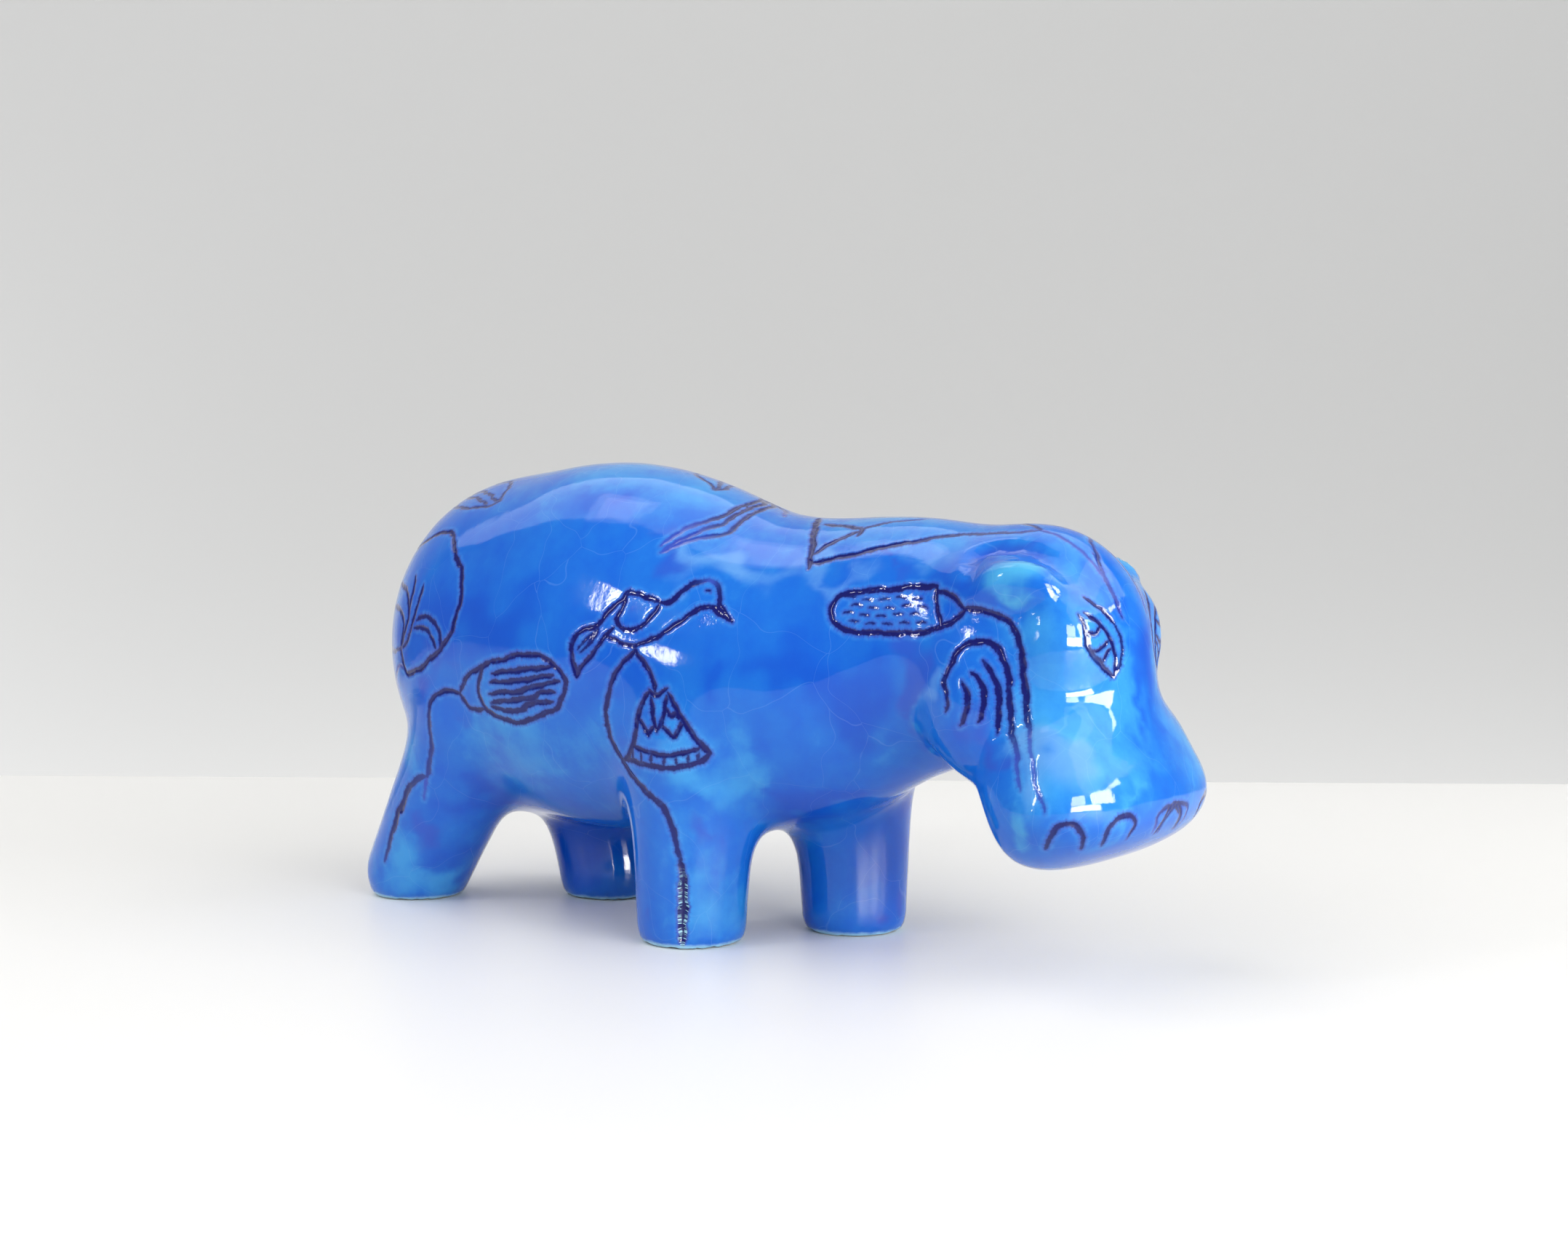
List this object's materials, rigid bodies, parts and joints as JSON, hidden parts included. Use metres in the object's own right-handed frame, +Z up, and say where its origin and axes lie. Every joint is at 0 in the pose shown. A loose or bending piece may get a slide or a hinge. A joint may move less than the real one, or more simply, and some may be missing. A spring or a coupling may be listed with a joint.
{
  "type": "hippopotamus figurine",
  "caption": "Glazed pottery hippopotamus striding on short legs, with river plants and a bird incised in its glossy blue skin.",
  "frame": {"origin": "centre of the figure's outline box, at floor level under the soles", "axes": "+X towards the nose, +Y to the animal's left, +Z up"},
  "size_m": [0.2053, 0.0738, 0.1033],
  "materials": {
    "blue_glaze": "thick glossy copper-blue glaze over pottery, pooled dark in the incised lines"
  },
  "bodies": {
    "root": {"hippopotamus": "blue_glaze"}
  },
  "joints": []
}
